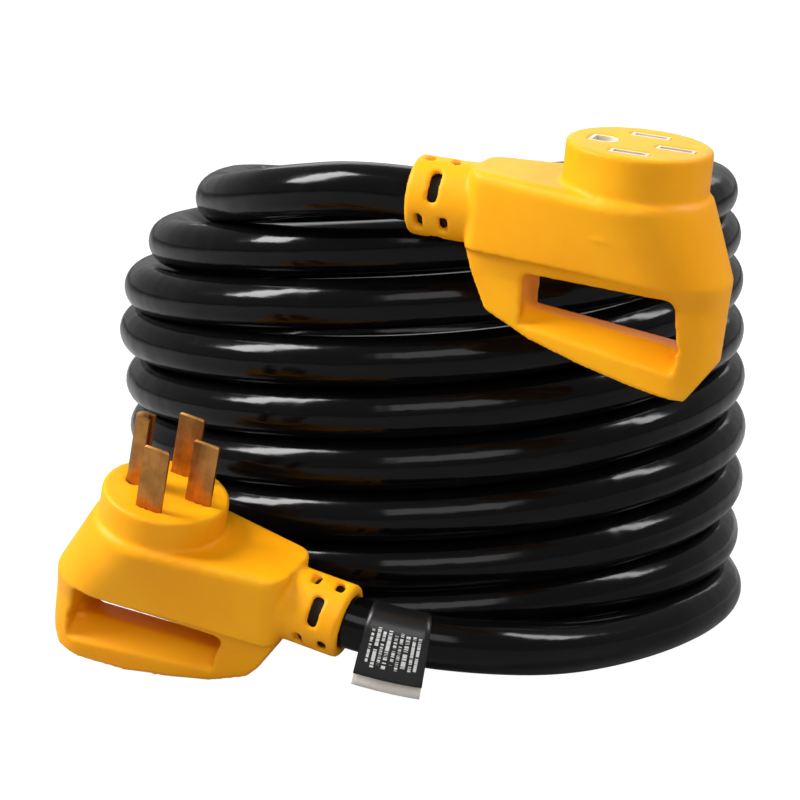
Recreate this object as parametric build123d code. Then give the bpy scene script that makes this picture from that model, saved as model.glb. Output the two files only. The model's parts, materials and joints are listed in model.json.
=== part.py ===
"""Shore power cord: an angled four-pole plug and connector on a coiled heavy cable.

Millimetres. The origin is the coil's axis at the surface it stands on, +Z up, and -Y is the side
where the plug lies and the connector hangs. Each end is made in its own frame: X from the neck's
end towards the nose, Z the contact face's normal.
"""
from build123d import *
from math import pi, radians, tan
import os

os.makedirs("parts", exist_ok=True)

# Cable and coil
CABLE_R = 13.0
COIL_R = (138.0, 168.0)          # inside and outside of the ordinary turns
COIL_TOP = 221.0
FLOOR_TURN_TOP = 26.6            # the lowest turn lies below this height
FLOOR_TURN_END = 215.0           # degrees round from +X where the lowest turn has climbed
TOP_TURN_CENTRE = (18.0, -12.0)
TOP_TURN_R = 128.0
TOP_TURN_Z = (194.0, 234.5)

# Moulded ends. A plan is the neck side's half width and corner, then the nose circle
NECK_LENGTH = 34.0
BODY_START = 30.0
DECK_Z = 20.0
WAIST_Z = -18.0                  # where the hull meets the narrower handle
DECK_EDGE = ((4.5, 0.0), (1.3, 1.3), (0.0, 4.5))     # down and in, round the deck's edge
WAIST_PLAN = (20.5, 8.0)
HANDLE_TOP = (16.0, 6.0)
HANDLE_MIDDLE = (15.0, 6.0)
HANDLE_FOOT = (13.0, 6.0)
HANDLE_MIDDLE_Z = -30.0
HANDLE_NOSE_R = (22.0, 19.0)     # at its middle and its foot
PLUG = dict(
    disc_x=103.5, disc_r=31.2, face_z=35.5, neck_r=18.3, nose_x=152.0,
    sole=[(37, -34), (42, -41), (58, -49.2), (80, -55.6), (105, -60.6), (128, -61.8), (142, -59.5),
          (152, -47)],
    grip=[(56, -22.5), (134, -18.5), (137, -43), (60, -37)],
)
CONNECTOR = dict(
    disc_x=105.7, disc_r=34.2, face_z=40.7, neck_r=19.1, nose_x=156.0,
    sole=[(37, -34), (43, -46.5), (66, -57), (92, -64.5), (116, -70), (130, -72.3), (143, -73.5), (156, -54)],
    grip=[(60, -25), (134.5, -24), (138, -51.5), (61, -44)],
)
PLUG_AXES = dict(x_dir=(-0.917, 0.302, 0.26), z_dir=(0.172, -0.29, 0.942))
PLUG_PLANE = Plane(origin=(-41.5, -192.0, 35.5), **PLUG_AXES)
CONNECTOR_AXES = dict(x_dir=(0.943, -0.312, -0.117), z_dir=(0.084, -0.116, 0.99))
CONNECTOR_PLANE = Plane(origin=(-9.5, -178.0, 241.8), **CONNECTOR_AXES)

BAR_FLAT = 6.0                   # half the flat on top of the bar, which slopes away each side
BAR_SLOPE = 0.7

# Contacts: spacing across and along the face, blades and the ground pin
HOT_SPACING = 40.0
POLE_SPACING = 34.0              # ground to neutral
BLADE_SIZE = (13.2, 2.2)
BLADE_LENGTH = 33.0
GROUND_WIDTH = 8.4
GROUND_WALL = 2.2
GROUND_LENGTH = 36.0
SLOT_CLEARANCE = 0.9
WINDOW_RIM = 1.6
CONTACT_WALL = 1.0

# Inside
CORE_R = 27.5
CORE_Z = 9.0
PLUG_SKIN = 4.0                  # moulding over the core, under the face
CONNECTOR_SKIN = 2.5
INSERT_PLATE = 1.5
CAVITY_FLOOR = -13.5
JACKET_END = 26.0
CLAMP_X = (6.0, 20.0)
CLAMP_R = 15.5
TAIL_R = 3.3
TAIL_OFFSET = 5.0
STRAND_R = 2.4
BARREL_R = 4.2
BARREL_Z = 3.0

# Label
TAG_LENGTH = 30.0
TAG_GAP = 9.0                    # from the plug's neck
TAG_WALL = 0.6
TAG_DROP = (17.0, 21.5)          # front and back layer, below the cable's middle

nodes = {}


def at_height(sketch, low, high):
    """Extrude an XY sketch from one height to another."""
    return extrude(Pos(0, 0, low) * sketch, high - low)


def across(points, half_width):
    """A prism across the body from a closed outline of (x, z) points."""
    outline = Polyline(*points, close=True)
    return extrude(Plane.XZ * make_face(outline), half_width, both=True)


# ---------------------------------------------------------------- moulded bodies
def plan(height, half_width, corner, nose_centre, nose_r):
    """The body seen from above at one height: flanks from the neck that run round the nose."""
    flank = half_width - corner
    left = Pos(BODY_START + corner, flank) * Circle(corner)
    right = Pos(BODY_START + corner, -flank) * Circle(corner)
    nose = Pos(nose_centre, 0) * Circle(nose_r)
    return Pos(0, 0, height) * make_hull(nose.edges() + left.edges() + right.edges())


def hull(disc_x, disc_r, nose_x):
    """Body from the deck to the waist, its nose leaning out under the disc."""
    shoulder = disc_r + 3.5
    waist_r = disc_r - 2
    sections = [plan(WAIST_Z, *WAIST_PLAN, nose_x - waist_r, waist_r)]
    for drop, inset in DECK_EDGE:
        sections.append(plan(DECK_Z - drop, 22.5 - inset, 11.0 - inset, disc_x, shoulder - inset))
    return loft(sections, ruled=True)


def handle(disc_r, nose_x, sole, grip):
    """D-shaped pull handle under the hull, with the gap that the fingers go through."""
    waist_r = disc_r - 2
    middle_r, foot_r = HANDLE_NOSE_R
    keel = min(z for x, z in sole) - 1
    top = plan(WAIST_Z, *HANDLE_TOP, nose_x - waist_r, waist_r)
    middle = plan(HANDLE_MIDDLE_Z, *HANDLE_MIDDLE, nose_x - middle_r - 0.5, middle_r)
    foot = plan(keel, *HANDLE_FOOT, nose_x - foot_r - 2, foot_r)
    outline = [(BODY_START - 1, WAIST_Z), (BODY_START, WAIST_Z)] + sole + [(nose_x + 1, WAIST_Z)]
    gap = fillet(across(grip, 60).edges().filter_by(Axis.Y), 4)
    return (loft([foot, middle, top], ruled=True) & across(outline, 60)) - gap, gap


def wiring_space(disc_x, roof):
    """Hollow for the conductors, with the core's pocket above it."""
    neck_side = Pos(JACKET_END + 1, 0) * Rectangle(2, 18)
    disc_side = Pos(disc_x, 0) * Circle(CORE_R)
    plan = make_hull(neck_side.edges() + disc_side.edges())
    pocket = at_height(disc_side, CORE_Z, roof)
    return at_height(plan, CAVITY_FLOOR, CORE_Z) + pocket


def softened_bar(grip):
    """Cutters that slope the top of the bar away on both sides, so that it fills the hand."""
    (high_x, high_z), (low_x, low_z) = grip[3], grip[2]
    along = Vector(low_x - high_x, 0, low_z - high_z)
    plane = Plane(origin=(high_x, 0, high_z), x_dir=(0, 1, 0), z_dir=along)
    reach = 40
    cuts = []
    for side in (-1, 1):
        far = side * (BAR_FLAT + reach)
        outline = Polyline((side * BAR_FLAT, 0), (far, 0), (far, -BAR_SLOPE * reach), close=True)
        cuts.append(plane * extrude(make_face(outline), along.length, dir=(0, 0, 1)))
    return cuts[0] + cuts[1]


def moulding(disc_x, disc_r, face_z, neck_r, nose_x, sole, grip, skin):
    """The moulded body: neck, hull, contact disc and handle round the inner parts."""
    handle_loop, gap = handle(disc_r, nose_x, sole, grip)
    disc = Pos(disc_x, 0) * at_height(Circle(disc_r), 0, face_z)
    disc = fillet(disc.edges().sort_by(Axis.Z)[-1], 1.5)
    neck = extrude(Plane.YZ * Circle(neck_r), NECK_LENGTH)
    neck = fillet(neck.edges().sort_by(Axis.X)[0], 2)
    jacket = extrude(Plane.YZ * Circle(CABLE_R), JACKET_END)
    outside = (hull(disc_x, disc_r, nose_x) - gap) + (handle_loop - softened_bar(grip)) + disc + neck
    return outside - wiring_space(disc_x, face_z - skin) - jacket - clamp()


def clamp():
    """Ferrule crimped round the jacket inside the neck."""
    ring = Plane.YZ.offset(CLAMP_X[0]) * (Circle(CLAMP_R) - Circle(CABLE_R))
    return extrude(ring, CLAMP_X[1] - CLAMP_X[0])


# ---------------------------------------------------------------- contacts
def poles(disc_x, near, far):
    """Centre of each pole on the face, by name."""
    half_hot = HOT_SPACING / 2
    half_pole = POLE_SPACING / 2
    return {"hot_x": (disc_x, half_hot), "hot_y": (disc_x, -half_hot),
            near: (disc_x - half_pole, 0), far: (disc_x + half_pole, 0)}


def ground_outline(extra=0.0):
    """U of the ground pin, its round back towards the edge of the face."""
    half = GROUND_WIDTH / 2 + extra
    return Circle(half) + Pos(-half / 2, 0) * Rectangle(half, 2 * half)


def blade_outline(extra=0.0):
    return Rectangle(BLADE_SIZE[0] + 2 * extra, BLADE_SIZE[1] + 2 * extra)


def barrel(centre, top):
    """Crimp barrel with its bore open downwards."""
    wall = at_height(Circle(BARREL_R) - Circle(STRAND_R), BARREL_Z, CORE_Z)
    return Pos(*centre) * (wall + at_height(Circle(BARREL_R), CORE_Z, top))


def flat_blade(centre, face_z):
    """Flat blade with its tip narrowed on all sides."""
    stem = at_height(blade_outline(), CORE_Z, face_z + BLADE_LENGTH)
    tip = stem.faces().sort_by(Axis.Z)[-1]
    stem = chamfer(tip.edges(), 0.9)
    return Pos(*centre) * stem + barrel(centre, CORE_Z + 3)


def ground_pin(centre, face_z):
    """U-shaped ground pin, longer than the blades."""
    hollow = Pos(-GROUND_WALL, 0) * ground_outline(-GROUND_WALL)
    stem = at_height(ground_outline() - hollow, CORE_Z, face_z + GROUND_LENGTH)
    return Pos(*centre) * stem + barrel(centre, CORE_Z + 3)


def spring_contact(centre, outline, inner, roof):
    """Sprung sleeve that grips a blade, on its crimp barrel."""
    floor = at_height(outline, CORE_Z + 3, CORE_Z + 4.5)
    sleeve = at_height(outline - inner, CORE_Z + 4.5, roof)
    split = at_height(Rectangle(2, 40), CORE_Z + 8, roof)
    return Pos(*centre) * (floor + sleeve - split) + barrel(centre, CORE_Z + 3)


# ---------------------------------------------------------------- conductors
def tube(points, radii, radius):
    """Round tube along straight runs joined by tangent arcs."""
    path = FilletPolyline(*points, radius=radii)
    section = Plane(origin=path @ 0, z_dir=path % 0) * Circle(radius)
    return sweep(section, path), path


def tail(start, centre, sag):
    """Insulated conductor from the jacket's end to a crimp barrel."""
    x, y = centre
    level_x = JACKET_END + 34 if y == 0 else x - 12
    points = [(JACKET_END, *start), (JACKET_END + 8, *start), (level_x, y, sag)]
    points += [(x, y, sag), (x, y, BARREL_Z)]
    return tube(points, [12, 12, 4], TAIL_R)[0]


def wire(prefix, spots, near, far, plane):
    """The four insulated ends and their bare strands."""
    out = TAIL_OFFSET
    starts = {"hot_x": (out, 0), "hot_y": (-out, 0), near: (0, out), far: (0, -out)}
    sags = {"hot_x": -7.0, "hot_y": -7.0, near: -1.2, far: -9.5}
    strands = []
    for name, centre in spots.items():
        nodes[f"{prefix}_tail_{name}"] = plane.location * tail(starts[name], centre, sags[name])
        strands.append(plane.location * Pos(*centre) * at_height(Circle(STRAND_R), BARREL_Z, CORE_Z))
    nodes[f"{prefix}_strands"] = Compound(children=[Solid(s.solid().wrapped) for s in strands])


# ---------------------------------------------------------------- plug
def make_plug():
    plane = PLUG_PLANE
    face_z = PLUG["face_z"]
    spots = poles(PLUG["disc_x"], "neutral", "ground")
    body = moulding(**PLUG, skin=PLUG_SKIN)
    core = Pos(PLUG["disc_x"], 0) * at_height(Circle(CORE_R), CORE_Z, face_z - PLUG_SKIN)
    prongs = {name: flat_blade(centre, face_z) for name, centre in spots.items() if name != "ground"}
    prongs["ground"] = ground_pin(spots["ground"], face_z)
    for name, prong in prongs.items():
        body -= prong
        core -= prong
        kind = "pin" if name == "ground" else "blade"
        nodes[f"{kind}_{name}"] = plane.location * prong
    nodes["plug_body"] = plane.location * body
    nodes["plug_core"] = plane.location * core
    nodes["plug_cable_clamp"] = plane.location * clamp()
    wire("plug", spots, "neutral", "ground", plane)


# ---------------------------------------------------------------- connector
def make_connector():
    plane = CONNECTOR_PLANE
    face_z = CONNECTOR["face_z"]
    disc = (CONNECTOR["disc_x"], 0)
    spots = poles(CONNECTOR["disc_x"], "ground", "neutral")
    roof = face_z - CONNECTOR_SKIN
    plate_z = roof - INSERT_PLATE
    body = moulding(**CONNECTOR, skin=CONNECTOR_SKIN)
    core = Pos(*disc) * at_height(Circle(CORE_R), CORE_Z, plate_z)
    insert = Pos(*disc) * at_height(Circle(CORE_R), plate_z, roof)
    for name, centre in spots.items():
        outline = ground_outline if name == "ground" else blade_outline
        window = Pos(*centre) * at_height(outline(SLOT_CLEARANCE + WINDOW_RIM), roof, face_z)
        slot = Pos(*centre) * at_height(outline(SLOT_CLEARANCE), plate_z, face_z)
        sleeve = outline(CONTACT_WALL + 0.2)
        contact = spring_contact(centre, sleeve, outline(0.2), plate_z - 1)
        chamber = Pos(*centre) * at_height(outline(CONTACT_WALL + 0.8), CORE_Z + 3, plate_z)
        body -= window
        rim = Pos(*centre) * at_height(outline(SLOT_CLEARANCE + WINDOW_RIM), roof, face_z - 0.4)
        insert = insert + rim - slot
        core = core - chamber - (Pos(*centre) * at_height(Circle(BARREL_R), CORE_Z, CORE_Z + 3))
        nodes[f"contact_{name}"] = plane.location * contact
    nodes["connector_body"] = plane.location * body
    nodes["connector_core"] = plane.location * core
    nodes["connector_face_insert"] = plane.location * insert
    nodes["connector_cable_clamp"] = plane.location * clamp()
    wire("connector", spots, "ground", "neutral", plane)


# ---------------------------------------------------------------- cable
def on_axis(plane, x):
    """Point on an end's neck axis, in the row frame."""
    return tuple(plane.from_local_coords(Vector(x, 0, 0)))


PLUG_ROUTE = [
    on_axis(PLUG_PLANE, JACKET_END), on_axis(PLUG_PLANE, -21), (25, -194, 23), (64, -170, 16),
    (103, -139, CABLE_R + 0.2), (134, -98, CABLE_R), (153, -46, CABLE_R), (153, 0, CABLE_R),
]
CONNECTOR_ROUTE = [
    on_axis(CONNECTOR_PLANE, JACKET_END), on_axis(CONNECTOR_PLANE, -22),
    (-71, -146, 239), (-97, -109, 231), (-110, -62, 224), (-110, -12, 221),
]


def corner_radii(route):
    """As large an arc at each corner as its two runs allow."""
    radii = []
    for a, b, c in zip(route, route[1:], route[2:]):
        before = Vector(*b) - Vector(*a)
        after = Vector(*c) - Vector(*b)
        half_turn = radians(before.get_angle(after)) / 2
        radii.append(0.45 * min(before.length, after.length) / tan(half_turn))
    return radii


def lead(name, route):
    """Uncoiled stretch of cable."""
    radii = corner_radii(route)
    solid, path = tube(route, radii, CABLE_R)
    ratio = solid.volume / (pi * CABLE_R ** 2 * path.length)
    print(f"{name}: length {path.length:.0f}, volume ratio {ratio:.4f}, radii {[round(r) for r in radii]}")
    nodes[name] = solid
    return solid


def coil():
    """Outer shape of the wound turns, open in the middle, with the smaller top turn on it."""
    ring = Circle(COIL_R[1]) - Circle(COIL_R[0])
    stack = at_height(ring, FLOOR_TURN_TOP, COIL_TOP)
    width = COIL_R[1] - COIL_R[0]
    middle = sum(COIL_R) / 2
    section = Plane.XZ * Pos(middle, FLOOR_TURN_TOP / 2) * Rectangle(width, FLOOR_TURN_TOP)
    floor_turn = revolve(section, Axis.Z, FLOOR_TURN_END)
    height = TOP_TURN_Z[1] - TOP_TURN_Z[0]
    x, y = TOP_TURN_CENTRE
    left_face = Plane.XZ * Pos(-TOP_TURN_R, TOP_TURN_Z[0] + height / 2) * Rectangle(2 * CABLE_R + 1, height)
    top_turn = Pos(x, y) * revolve(left_face, Axis.Z, -180)
    return stack + floor_turn + top_turn


def tag(cable):
    """Folded label round the cable, its two layers hanging at the front."""
    along = PLUG_PLANE.x_dir * -1
    middle = on_axis(PLUG_PLANE, -TAG_GAP - TAG_LENGTH / 2)
    front = Vector(0, 0, 1).cross(along) * -1
    plane = Plane(origin=middle, x_dir=front, z_dir=along)
    outer = CABLE_R + TAG_WALL
    sleeve = tube(PLUG_ROUTE, corner_radii(PLUG_ROUTE), outer)[0]
    wrap = sleeve & (plane * extrude(Circle(2 * outer), TAG_LENGTH / 2, both=True))
    front_layer = Pos(outer + TAG_WALL / 2, -TAG_DROP[0] / 2) * Rectangle(TAG_WALL, TAG_DROP[0])
    back_layer = Pos(outer - TAG_WALL / 2, -TAG_DROP[1] / 2) * Rectangle(TAG_WALL, TAG_DROP[1])
    flag = plane * extrude(front_layer + back_layer, TAG_LENGTH / 2, both=True)
    return wrap + flag - cable


make_plug()
make_connector()
plug_lead = lead("cable_lead_plug", PLUG_ROUTE)
connector_lead = lead("cable_lead_connector", CONNECTOR_ROUTE)
nodes["cable_coil"] = coil() - plug_lead - connector_lead
nodes["rating_tag"] = tag(plug_lead)

for name, shape in nodes.items():
    export_step(shape, f"parts/{name}.step")
print(len(nodes), "nodes")
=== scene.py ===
"""Shore power cord: the look of its moulded ends, prongs, label and coiled cable."""

import json
from math import cos, pi, radians, sin

import bmesh
import bpy
from mathutils import Matrix, Vector


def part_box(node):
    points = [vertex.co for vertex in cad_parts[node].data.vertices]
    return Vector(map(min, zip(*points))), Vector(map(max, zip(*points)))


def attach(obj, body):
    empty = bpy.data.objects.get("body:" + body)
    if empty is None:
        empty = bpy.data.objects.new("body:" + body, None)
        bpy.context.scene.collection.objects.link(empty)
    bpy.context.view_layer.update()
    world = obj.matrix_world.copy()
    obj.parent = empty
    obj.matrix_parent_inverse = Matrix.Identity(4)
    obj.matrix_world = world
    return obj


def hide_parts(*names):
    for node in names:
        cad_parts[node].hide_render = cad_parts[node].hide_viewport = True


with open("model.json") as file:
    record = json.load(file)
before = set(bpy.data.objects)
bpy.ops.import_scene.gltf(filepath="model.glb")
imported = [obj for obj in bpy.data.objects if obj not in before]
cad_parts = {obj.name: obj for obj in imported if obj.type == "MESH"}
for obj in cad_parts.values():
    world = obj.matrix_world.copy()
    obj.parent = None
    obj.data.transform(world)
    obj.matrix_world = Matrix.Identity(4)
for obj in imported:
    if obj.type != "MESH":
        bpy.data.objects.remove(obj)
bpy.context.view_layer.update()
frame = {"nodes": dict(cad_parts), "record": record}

MM = 0.001
WELD = 0.01 * MM

# ---------------------------------------------------------------- driving sizes
CABLE_R = 13 * MM
JACKET_END = 26 * MM                         # how far the cable's jacket reaches into each neck
PLUG_RUN_UP = 21 * MM                        # the cable that leaves each neck straight
CONNECTOR_RUN_UP = 22 * MM
PLUG_DISC = (103.5 * MM, 35.5 * MM)          # the face's centre, from the neck's end and axis
CONNECTOR_DISC = (105.7 * MM, 40.7 * MM)

# Each pass of the cable round the coil, in mm: how far out it lies and how high, from the top turn down
LEFT = ((110, 221), (137, 195), (151, 171), (154, 148), (151, 121), (149, 96), (150, 71),
        (150, 46), (150, 20))
BACK = ((112, 205), (133, 190), (148, 168), (152.5, 142), (152.5, 116.5), (152.5, 90.5), (152.5, 64.5),
        (152.5, 39), (152.5, 13))
RIGHT = ((148, 224), (151, 201), (153, 177), (154, 150), (155, 125), (156, 97), (155, 69),
         (153, 39.5), (153, 13))
FRONT = ((150, 214), (150, 186), (151, 157), (151, 131), (152, 105), (152.5, 79), (152.5, 53),
         (152, 31))
POINTS_PER_QUARTER = 4

# Slots round each neck: place along it, width along it, angle that each one spans, turn of the row
SLOT_ROWS = ((7 * MM, 4 * MM, 28, 0), (13.4 * MM, 5 * MM, 50, 60), (19.6 * MM, 4 * MM, 28, 0))
SLOTS_PER_ROW = 3
SLOT_DEPTH = (14.8 * MM, 22 * MM)            # from and to, out from the neck's axis

# Foot of the finger gap, neck side to nose side in the end's own frame
PLUG_BAR = ((60 * MM, -37 * MM), (137 * MM, -43 * MM))
CONNECTOR_BAR = ((61 * MM, -44 * MM), (138 * MM, -51.5 * MM))
# The blocks that square its corners: from and to across, height, and reach into the walls
CORNER_CUT = (6 * MM, 45 * MM, 5 * MM, 0.4 * MM)

SKIN_VOXEL = 1.05 * MM
SKIN_SMOOTHING = 9

TAG_LENGTH = 29 * MM
TAG_GAP = 9.5 * MM
TAG_WALL = 0.35 * MM
TAG_DROP = (19.5 * MM, 26 * MM)              # front and back flap, below the cable's middle
TAG_FLARE = (0.9 * MM, 1.2 * MM)             # how far each flap leans out on its way down
TAG_WRAP = 310                               # degrees round the cable, from its front
TAG_STATIONS = 13                            # cross-sections along it
TAG_ROWS = 11                                # rows of bars along it

EDGE_EASE = 0.3 * MM
FLOOR_GLOW = (0.58, 1.71)                    # share and strength
WORLD_LIGHT = 0.32
CAMERA_PLACE = (-0.017, -1.605, 0.422)
CAMERA_DOWN = 11.1                           # degrees below level
POLES = ("hot_x", "hot_y", "neutral", "ground")
PRONGS = ("blade_hot_x", "blade_hot_y", "blade_neutral", "pin_ground")


# ---------------------------------------------------------------- frame of each moulded end
class End:
    """A moulded end's own frame: X from the neck's end to the nose, Z the contact face's normal."""

    def __init__(self, mount, clamp, disc):
        where = next(m for m in frame["record"]["mounts"] if m["name"] == mount)
        face = Vector(where["pos_m"])
        normal = Vector(where["axis"]).normalized()
        low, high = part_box(clamp)
        along = face - (low + high) / 2
        along = (along - normal * along.dot(normal)).normalized()
        self.matrix = Matrix((along, normal.cross(along), normal)).transposed().to_4x4()
        self.matrix.translation = face - along * disc[0] - normal * disc[1]

    def at(self, x, y=0.0, z=0.0):
        """A place in the end's frame, as the scene has it."""
        return self.matrix @ Vector((x, y, z))


plug_end = End("plug_face", "plug_cable_clamp", PLUG_DISC)
connector_end = End("connector_face", "connector_cable_clamp", CONNECTOR_DISC)


# ---------------------------------------------------------------- making and finishing pieces
def add(name, data):
    """An object in the scene for a mesh, curve, light or camera."""
    made = bpy.data.objects.new(name, data)
    bpy.context.scene.collection.objects.link(made)
    return made


def piece(name, bm, finish, smooth=True):
    """An object from a bmesh whose points are already in place."""
    mesh = bpy.data.meshes.new(name)
    bm.to_mesh(mesh)
    bm.free()
    for face in mesh.polygons:
        face.use_smooth = smooth
    made = add(name, mesh)
    if finish:
        mesh.materials.append(finish.material)
    return made


def settle(made):
    """Apply a piece's modifiers."""
    bpy.context.view_layer.update()
    seen = made.evaluated_get(bpy.context.evaluated_depsgraph_get())
    mesh = bpy.data.meshes.new_from_object(seen)
    made.modifiers.clear()
    made.data = mesh
    for face in mesh.polygons:
        face.use_smooth = True
    return made


def modifier(made, kind, **settings):
    """A modifier on a piece, with its settings."""
    added = made.modifiers.new(kind.title(), kind)
    for name, value in settings.items():
        setattr(added, name, value)
    return added


def welded_copy(node):
    """A CAD node's surface, merged into one closed mesh."""
    bm = bmesh.new()
    bm.from_mesh(frame["nodes"][node].data)
    bmesh.ops.remove_doubles(bm, verts=bm.verts, dist=WELD)
    return bm


# ---------------------------------------------------------------- materials
def srgb(red, green, blue, alpha=1.0):
    """A colour given in 0-255 display values, as the shader wants it."""
    def linear(value):
        value /= 255
        return value / 12.92 if value <= 0.04045 else ((value + 0.055) / 1.055) ** 2.4
    return (linear(red), linear(green), linear(blue), alpha)


class Value:
    """A socket in a finish, with arithmetic that adds its Math nodes."""

    def __init__(self, finish, socket):
        self.finish = finish
        self.socket = socket

    def do(self, operation, *others, first=None):
        """A Math node with this value first, or second after the one given as first."""
        values = [self, *others] if first is None else [first, self]
        return self.finish.node("ShaderNodeMath", {"operation": operation}, *values)

    def __add__(self, other):
        return self.do("ADD", other)

    __radd__ = __add__

    def __sub__(self, other):
        return self.do("SUBTRACT", other)

    def __rsub__(self, other):
        return self.do("SUBTRACT", first=other)

    def __mul__(self, other):
        return self.do("MULTIPLY", other)

    __rmul__ = __mul__

    def __truediv__(self, other):
        return self.do("DIVIDE", other)

    def __gt__(self, other):
        return self.do("GREATER_THAN", other)

    def __lt__(self, other):
        return self.do("LESS_THAN", other)


class Finish:
    """A material, the nodes that feed its shader, and what is the same all over it."""

    def __init__(self, name, **constants):
        self.material = bpy.data.materials.new(name)
        self.material.use_nodes = True
        self.tree = self.material.node_tree
        self.shader = self.tree.nodes["Principled BSDF"]
        for socket, value in constants.items():
            self.shader.inputs[socket.replace("_", " ")].default_value = value

    def node(self, kind, settings, *values, output=0):
        """A node with its settings and the values of its first inputs."""
        made = self.tree.nodes.new(kind)
        for name, setting in settings.items():
            setattr(made, name, setting)
        for index, value in enumerate(values):
            self.plug_in(value, made.inputs[index])
        return Value(self, made.outputs[output])

    def plug_in(self, value, socket):
        if isinstance(value, Value):
            self.tree.links.new(value.socket, socket)
        elif value is not None:
            socket.default_value = value

    def feed(self, **values):
        """Inputs of the shader, by name."""
        for socket, value in values.items():
            self.plug_in(value, self.shader.inputs[socket.replace("_", " ")])

    def place(self, matrix=None, scale=(1, 1, 1), kind="Object"):
        """Coordinates on the piece, turned into an end's own frame where one is given."""
        source = self.tree.nodes.new("ShaderNodeTexCoord")
        found = Value(self, source.outputs[kind])
        if matrix:
            inverse = matrix.inverted()
            found = self.node("ShaderNodeMapping", {}, found, inverse.translation, inverse.to_euler())
        return self.node("ShaderNodeVectorMath", {"operation": "MULTIPLY"}, found, scale)

    def split(self, vector):
        made = self.tree.nodes.new("ShaderNodeSeparateXYZ")
        self.plug_in(vector, made.inputs[0])
        return [Value(self, socket) for socket in made.outputs]

    def join(self, x, y, z):
        return self.node("ShaderNodeCombineXYZ", {}, x, y, z)

    def noise(self, vector, scale, detail=2.0, roughness=0.5):
        return self.node("ShaderNodeTexNoise", {}, vector, None, scale, detail, roughness)

    def ramp(self, value, low, high):
        """0 below low and 1 above high, smooth between."""
        settings = {"interpolation_type": "SMOOTHSTEP"}
        return self.node("ShaderNodeMapRange", settings, value, low, high, 0.0, 1.0)

    def mix(self, factor, one, other):
        """A colour between two. A Mix node keeps its colour sockets after those for other types."""
        made = self.tree.nodes.new("ShaderNodeMix")
        made.data_type = "RGBA"
        for socket, value in ((0, factor), (6, one), (7, other)):
            self.plug_in(value, made.inputs[socket])
        return Value(self, made.outputs[2])

    def bump(self, height, depth, strength=1.0):
        """Relief of a given depth in metres."""
        made = self.tree.nodes.new("ShaderNodeBump")
        self.plug_in(strength, made.inputs["Strength"])
        self.plug_in(depth, made.inputs["Distance"])
        self.plug_in(height, made.inputs["Height"])
        self.feed(Normal=Value(self, made.outputs["Normal"]))


def moulded_yellow():
    """Flexible vinyl moulding: even colour, faint flow marks, fine orange peel, paler on worn edges."""
    made = Finish("moulded_yellow", Specular_IOR_Level=0.22)
    spot = made.place()
    flow = made.noise(spot, scale=22, detail=3.0)
    peel = made.noise(spot, scale=900, detail=2.0, roughness=0.6)
    grain = made.noise(spot, scale=2600, detail=1.0)
    worn = made.ramp(made.node("ShaderNodeNewGeometry", {}, output="Pointiness"), 0.53, 0.62)
    scuff = made.ramp(made.noise(spot, scale=150, detail=5.0, roughness=0.65), 0.62, 0.72)
    deep = srgb(244, 160, 4)
    light = srgb(250, 173, 10)
    pale = srgb(253, 194, 60)
    body = made.mix(made.ramp(flow, 0.3, 0.7), deep, light)
    made.feed(Base_Color=made.mix(worn * 0.35, body, pale))
    made.feed(Roughness=0.40 + flow * 0.1 + peel * 0.06 + scuff * 0.08)
    made.bump(peel * 0.7 + grain * 0.3, depth=0.05 * MM, strength=0.5)
    return made


def cable_jacket():
    """Glossy black vinyl jacket: long soft ripples of the lay beneath, light scuffs and dust."""
    made = Finish("cable_jacket", Specular_IOR_Level=0.17)
    x, y, z = made.split(made.place())
    out = (x * x + y * y).do("SQRT")
    along = made.join(x / out * 2.2, y / out * 2.2, z * 9.0)
    ripple = made.noise(along, scale=2.4, detail=2.0, roughness=0.45)
    fine = made.noise(made.join(x / out * 6, y / out * 6, z * 160), scale=1.6, detail=3.0)
    grain = made.noise(made.place(), scale=1500, detail=2.0)
    dust = made.ramp(made.noise(made.place(), scale=34, detail=6.0, roughness=0.7), 0.52, 0.78)
    made.feed(Base_Color=made.mix(dust * 0.35, srgb(6, 6, 7), srgb(24, 24, 26)))
    made.feed(Roughness=0.11 + dust * 0.12 + fine * 0.05)
    made.bump(ripple + fine * 0.10 + grain * 0.010, depth=1.8 * MM, strength=0.6)
    return made


def contact_metal(name, end, tone, roughness):
    """Brushed copper alloy with drawn streaks along the prong and a warm tarnish."""
    made = Finish(name, Metallic=1.0, Anisotropic=0.35)
    spot = made.place(end.matrix)
    x, y, z = made.split(spot)
    streak = made.noise(made.join(x * 2600, y * 2600, z * 90), scale=1.0, detail=3.0, roughness=0.6)
    cloud = made.noise(spot, scale=130, detail=3.0)
    dark = tuple(0.6 * part for part in tone[:3]) + (1.0,)
    made.feed(Base_Color=made.mix(made.ramp(cloud * 0.7 + streak * 0.3, 0.3, 0.65), dark, tone))
    made.feed(Roughness=roughness + streak * 0.14)
    made.bump(streak, depth=0.02 * MM, strength=0.5)
    return made


def plain_moulding(name, tone, roughness):
    """Hard or soft plastic inside and round the contacts, with a fine mould grain."""
    made = Finish(name)
    spot = made.place()
    cloud = made.noise(spot, scale=90, detail=3.0)
    grain = made.noise(spot, scale=1800, detail=2.0)
    dark = tuple(0.78 * part for part in tone[:3]) + (1.0,)
    made.feed(Base_Color=made.mix(made.ramp(cloud, 0.3, 0.7), dark, tone))
    made.feed(Roughness=roughness + grain * 0.1)
    made.bump(grain, depth=0.03 * MM, strength=0.5)
    return made


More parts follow.
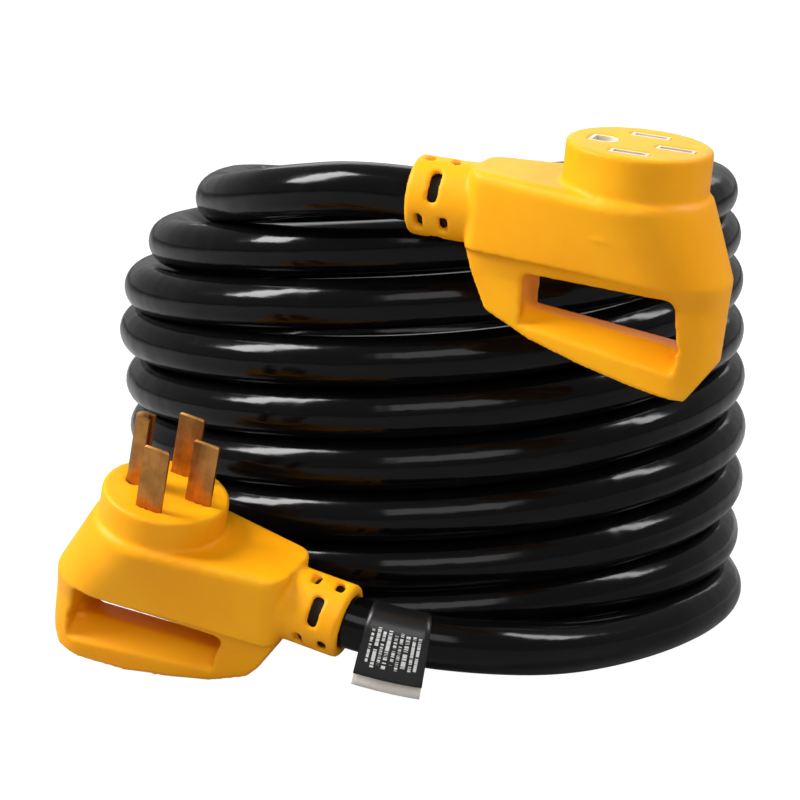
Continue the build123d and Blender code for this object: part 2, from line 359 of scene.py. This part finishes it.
def label_print():
    """Satin black film with plain pale bars in place of the print."""
    made = Finish("label_print", Specular_IOR_Level=0.5)
    u, v = made.split(made.place(kind="UV"))[:2]
    row = (u * TAG_ROWS).do("FLOOR")
    inside = ((u * TAG_ROWS).do("FRACT") > 0.42) * (u > 0.14) * (u < 0.93)
    marks = made.noise(made.join(row * 7.3, v * 260, 0.5), scale=1.0, detail=1.0) > 0.47
    length = made.noise(made.join(row * 3.7, 0.2, 0.9), scale=1.0, detail=1.0)
    span = (v > 0.015 + length * 0.05) * (v < 0.20 - length * 0.06)
    grain = made.noise(made.place(), scale=900, detail=2.0)
    made.feed(Base_Color=made.mix(inside * marks * span, srgb(12, 12, 13), srgb(214, 214, 212)))
    made.feed(Roughness=0.3 + grain * 0.12)
    made.bump(grain, depth=0.03 * MM, strength=0.4)
    return made


def label_back():
    """Pale matt underside of the folded film."""
    made = Finish("label_back")
    fibre = made.noise(made.place(), scale=700, detail=4.0, roughness=0.7)
    made.feed(Base_Color=made.mix(fibre, srgb(202, 194, 184), srgb(226, 219, 211)))
    made.feed(Roughness=0.5 + fibre * 0.2)
    made.bump(fibre, depth=0.04 * MM, strength=0.4)
    return made


def slot_shade_steel():
    """Steel of the ferrules inside the necks, coloured near black as painted shade: it lies at the foot
    of the relief slots.
    """
    made = Finish("slot_shade_steel", Metallic=0.9)
    cloud = made.noise(made.place(), scale=240, detail=4.0, roughness=0.6)
    made.feed(Base_Color=made.mix(cloud, srgb(26, 22, 18), srgb(52, 46, 40)))
    made.feed(Roughness=0.45 + cloud * 0.2)
    made.bump(cloud, depth=0.05 * MM, strength=0.4)
    return made


def studio_floor():
    """Pale floor that the camera sees as white, with soft shadows where the object rests."""
    made = Finish("studio_floor", Roughness=0.7, Specular_IOR_Level=0.1)
    drift = made.noise(made.place(), scale=1.5, detail=2.0)
    made.feed(Base_Color=made.mix(drift, srgb(158, 158, 160), srgb(164, 164, 164)))
    share, strength = FLOOR_GLOW
    glow = made.tree.nodes.new("ShaderNodeEmission")
    glow.inputs["Strength"].default_value = strength
    both = made.tree.nodes.new("ShaderNodeMixShader")
    camera_sees = made.node("ShaderNodeLightPath", {}, output="Is Camera Ray")
    made.plug_in(camera_sees * share, both.inputs[0])
    made.tree.links.new(made.shader.outputs[0], both.inputs[1])
    made.tree.links.new(glow.outputs[0], both.inputs[2])
    made.tree.links.new(both.outputs[0], made.tree.nodes["Material Output"].inputs[0])
    return made


# ---------------------------------------------------------------- camera and light
def studio_camera():
    """A long lens in front of the coil, a little above it."""
    data = bpy.data.cameras.new("camera")
    data.lens = 136.3
    data.sensor_width = 36
    camera = add("camera", data)
    camera.location = CAMERA_PLACE
    camera.rotation_euler = (radians(90 - CAMERA_DOWN), 0, 0)
    bpy.context.scene.camera = camera


def softbox(name, place, aim, size, power):
    """A rectangular light turned to what it aims at."""
    data = bpy.data.lights.new(name, "AREA")
    data.shape = "RECTANGLE"
    data.size, data.size_y = size
    data.energy = power
    light = add(name, data)
    light.location = place
    light.rotation_euler = (Vector(aim) - Vector(place)).to_track_quat("-Z", "Y").to_euler()


def studio():
    """World, four softboxes and the floor."""
    bpy.context.scene.view_settings.view_transform = "Standard"
    world = bpy.data.worlds.new("studio")
    world.use_nodes = True
    background = world.node_tree.nodes["Background"]
    background.inputs["Color"].default_value = (1, 1, 1, 1)
    background.inputs["Strength"].default_value = WORLD_LIGHT
    bpy.context.scene.world = world
    middle = (0, 0, 0.12)
    softbox("strip_left", (-1.36, -0.25, 1.43), middle, (0.5, 1.05), 50)
    softbox("front_soft", (0.1, -2.4, 1.6), middle, (2.0, 1.2), 24)
    softbox("strip_right", (1.5, -0.1, 1.35), middle, (0.36, 0.85), 17)
    softbox("back_soft", (0.3, 2.2, 1.6), middle, (2.4, 1.2), 14)
    bm = bmesh.new()
    bmesh.ops.create_grid(bm, x_segments=1, y_segments=1, size=40)
    floor = piece("floor", bm, studio_floor())


# ---------------------------------------------------------------- cable
def passes():
    """Every quarter of the coil in order, from the top turn's left side down to the floor's right."""
    order = []
    for turn, left in enumerate(LEFT):
        order += [left, BACK[turn], RIGHT[turn]]
        if turn < len(FRONT):
            order.append(FRONT[turn])
    return order


def coil_points():
    """The coil's turns, clockwise seen from above."""
    quarters = passes()
    points = []
    for step in range(1, (len(quarters) - 1) * POINTS_PER_QUARTER):
        quarter, part = divmod(step, POINTS_PER_QUARTER)
        t = part / POINTS_PER_QUARTER
        near = [quarters[min(max(quarter + k, 0), len(quarters) - 1)] for k in (-1, 0, 1, 2)]
        # Twice the weights of a smooth line through the four nearest quarters
        weights = (-t + 2 * t**2 - t**3, 2 - 5 * t**2 + 3 * t**3, t + 4 * t**2 - 3 * t**3, t**3 - t**2)
        out, height = (sum(w * n[k] for w, n in zip(weights, near)) / 2 * MM for k in (0, 1))
        angle = pi - (quarter + t) * pi / 2
        # The curve runs inside its control points, so they stand further out
        spread = out / cos(pi / 4 / POINTS_PER_QUARTER)
        points.append(Vector((spread * cos(angle), spread * sin(angle), height)))
    return points


def cable(finish):
    """One cord from inside the connector's neck, round the coil, to inside the plug's neck."""
    from_connector = [(-71, -146, 239), (-97, -109, 231), (-110, -62, 224), (-110, -12, 221)]
    to_plug = [(153, 0, 13), (153, -46, 13), (133, -94, 13), (101, -135, 13.2), (64, -170, 16),
               (25, -194, 23)]
    points = [connector_end.at(JACKET_END), connector_end.at(-CONNECTOR_RUN_UP)]
    points += [Vector(place) * MM for place in from_connector]
    points += coil_points()
    points += [Vector(place) * MM for place in to_plug]
    points += [plug_end.at(-PLUG_RUN_UP), plug_end.at(JACKET_END)]
    curve = bpy.data.curves.new("power_cable", "CURVE")
    curve.dimensions = "3D"
    curve.resolution_u = 8
    curve.bevel_depth = CABLE_R
    curve.bevel_resolution = 14
    curve.use_fill_caps = True
    spline = curve.splines.new("NURBS")
    spline.points.add(len(points) - 1)
    for point, place in zip(spline.points, points):
        point.co = (*place, 1)
    spline.order_u = 3
    spline.use_endpoint_u = True
    curve.materials.append(finish.material)
    made = add("power_cable", curve)
    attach(made, "root")
    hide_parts("cable_coil", "cable_lead_plug", "cable_lead_connector")
    return made


# ---------------------------------------------------------------- moulded ends
def skin_cutters(end, bar):
    """Closed arcs round a neck's axis, one for each relief slot, and a block each side of the bar."""
    bm = bmesh.new()
    inner, outer = SLOT_DEPTH
    for x, width, span, turn in SLOT_ROWS:
        for number in range(SLOTS_PER_ROW):
            start = radians(turn + 360 / SLOTS_PER_ROW * number - span / 2)
            x0, x1 = x - width / 2, x + width / 2
            sides = ((x0, inner), (x1, inner), (x1, outer), (x0, outer))
            corners = [bm.verts.new((along, 0, out)) for along, out in sides]
            face = bm.faces.new(corners)
            bmesh.ops.rotate(bm, verts=corners, matrix=Matrix.Rotation(start, 3, "X"))
            swept = [face, *face.edges, *corners]
            bmesh.ops.spin(bm, geom=swept, axis=(1, 0, 0), angle=radians(span), steps=8)
    near, far, height, reach = CORNER_CUT
    (x0, z0), (x1, z1) = bar
    sides = [(x0 - reach, z0), (x1 + reach, z1), (x1 + reach, z1 + height), (x0 - reach, z0 + height)]
    for side in (-1, 1):
        face = bm.faces.new([bm.verts.new((x, side * near, z)) for x, z in sides])
        grown = bmesh.ops.extrude_face_region(bm, geom=[face])["geom"]
        moved = [vertex for vertex in grown if isinstance(vertex, bmesh.types.BMVert)]
        bmesh.ops.translate(bm, verts=moved, vec=(0, side * (far - near), 0))
    bmesh.ops.transform(bm, matrix=end.matrix, verts=bm.verts)
    bmesh.ops.recalc_face_normals(bm, faces=bm.faces)
    return piece("skin_cutters", bm, None)


def moulded_end(name, node, end, bar, finish):
    """The moulded body with its relief slots, every edge and corner softened as one skin."""
    made = piece(name, welded_copy(node), finish)
    cutters = skin_cutters(end, bar)
    modifier(made, "BOOLEAN", operation="DIFFERENCE", solver="EXACT", object=cutters)
    modifier(made, "REMESH", mode="VOXEL", voxel_size=SKIN_VOXEL)
    modifier(made, "SMOOTH", factor=0.5, iterations=SKIN_SMOOTHING)
    settle(made)
    bpy.data.objects.remove(cutters)
    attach(made, "root")
    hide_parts(node)
    return made


def prong(node, finish):
    """A blade or pin with its punched edges eased."""
    bm = welded_copy(node)
    bmesh.ops.dissolve_limit(bm, angle_limit=radians(1), verts=bm.verts, edges=bm.edges)
    made = piece(f"{node}_metal", bm, finish)
    modifier(made, "BEVEL", width=EDGE_EASE, segments=3, limit_method="ANGLE", angle_limit=radians(35))
    settle(made)
    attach(made, "root")
    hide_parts(node)
    return made


# ---------------------------------------------------------------- label
def centreline(made):
    """Points along a cord's own line, from the plug's end."""
    bare = made.data.copy()
    bare.bevel_depth = 0
    probe = add("probe", bare)
    bpy.context.view_layer.update()
    mesh = bpy.data.meshes.new_from_object(probe.evaluated_get(bpy.context.evaluated_depsgraph_get()))
    points = [vertex.co.copy() for vertex in mesh.vertices]
    bpy.data.objects.remove(probe)
    bpy.data.meshes.remove(mesh)
    return points[::-1]


def stations(points, first, last, count):
    """Evenly spaced places on a line, each with its direction."""
    wanted = [first + (last - first) * step / (count - 1) for step in range(count)]
    found = []
    walked = 0.0
    for one, other in zip(points, points[1:]):
        run = (other - one).length
        while len(found) < count and walked + run >= wanted[len(found)]:
            part = (wanted[len(found)] - walked) / run
            found.append((one.lerp(other, part), (other - one).normalized()))
        walked += run
    return found


def tag_profile():
    """Across the cable: out to the front, up, and whether it is the back flap, from end to end."""
    hold = CABLE_R + TAG_WALL
    front, back = TAG_DROP
    front_flare, back_flare = TAG_FLARE
    over = hold + 1.1 * TAG_WALL                 # the front flap lies clear of the layer under it
    points = [(over + front_flare * t, -front * t, False) for t in (1, 0.8, 0.6, 0.4, 0.2)]
    for angle in range(0, TAG_WRAP + 1, 10):
        points.append((hold * cos(radians(angle)), hold * sin(radians(angle)), False))
    low = hold * sin(radians(TAG_WRAP))
    for t in (0.3, 0.5, 0.7, 0.85, 1):
        points.append((hold * 0.8 + back_flare * t, low + (-back - low) * t, True))
    return points


def label(cord, finishes):
    """The rating label, folded round the cable beside the plug's neck."""
    first = JACKET_END + TAG_GAP
    along = stations(centreline(cord), first, first + TAG_LENGTH, TAG_STATIONS)
    profile = tag_profile()
    bm = bmesh.new()
    uv = bm.loops.layers.uv.new("label")
    rows = []
    for centre, direction in along:
        up = (Vector((0, 0, 1)) - direction * direction.z).normalized()
        out = direction.cross(up)
        out = out if out.y < 0 else -out
        rows.append([bm.verts.new(centre + out * across + up * rise) for across, rise, _ in profile])
    for index, (row, following) in enumerate(zip(rows, rows[1:])):
        for place in range(len(profile) - 1):
            face = bm.faces.new((row[place], following[place], following[place + 1], row[place + 1]))
            face.material_index = int(profile[place + 1][2])
            for loop, (step, at) in zip(face.loops, ((0, 0), (1, 0), (1, 1), (0, 1))):
                share = (index + step) / (len(rows) - 1)
                loop[uv].uv = (share, (place + at) / (len(profile) - 1))
    bmesh.ops.recalc_face_normals(bm, faces=bm.faces)
    made = piece("cable_label", bm, None)
    for finish in finishes:
        made.data.materials.append(finish.material)
    modifier(made, "SOLIDIFY", thickness=TAG_WALL, offset=0)
    settle(made)
    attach(made, "root")
    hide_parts("rating_tag")
    return made


def dress(finish, *nodes):
    """A CAD node whose shape is right gets its real finish."""
    for node in nodes:
        mesh = frame["nodes"][node].data
        mesh.materials.clear()
        mesh.materials.append(finish.material)


# ---------------------------------------------------------------- the object
studio_camera()
studio()
cord = cable(cable_jacket())
yellow = moulded_yellow()
plug = moulded_end("plug_moulding", "plug_body", plug_end, PLUG_BAR, yellow)
moulded_end("connector_moulding", "connector_body", connector_end, CONNECTOR_BAR, yellow)

prong_metal = contact_metal("prong_metal", plug_end, srgb(196, 138, 74), roughness=0.3)
socket_metal = contact_metal("socket_metal", connector_end, srgb(226, 186, 110), roughness=0.3)
prongs = [prong(node, prong_metal) for node in PRONGS]
dress(socket_metal, *(f"contact_{pole}" for pole in POLES))
dress(plain_moulding("pale_insert", srgb(222, 210, 190), roughness=0.4), "connector_face_insert")
dress(plain_moulding("inner_block", srgb(38, 38, 40), roughness=0.5), "plug_core", "connector_core")
# Painted shade: the relief slots are cut through to the ferrules, and their near-black colour darkens
# each slot's floor.
dress(slot_shade_steel(), "plug_cable_clamp", "connector_cable_clamp")
bare_copper = contact_metal("bare_strands", plug_end, srgb(206, 120, 70), roughness=0.3)
dress(bare_copper, "plug_strands", "connector_strands")
black, red, white, green = srgb(24, 24, 26), srgb(176, 24, 22), srgb(232, 232, 228), srgb(28, 122, 54)
for pole, tone in zip(POLES, (black, red, white, green)):
    insulation = plain_moulding(f"insulation_{pole}", tone, roughness=0.35)
    dress(insulation, f"plug_tail_{pole}", f"connector_tail_{pole}")
tag = label(cord, (label_print(), label_back()))
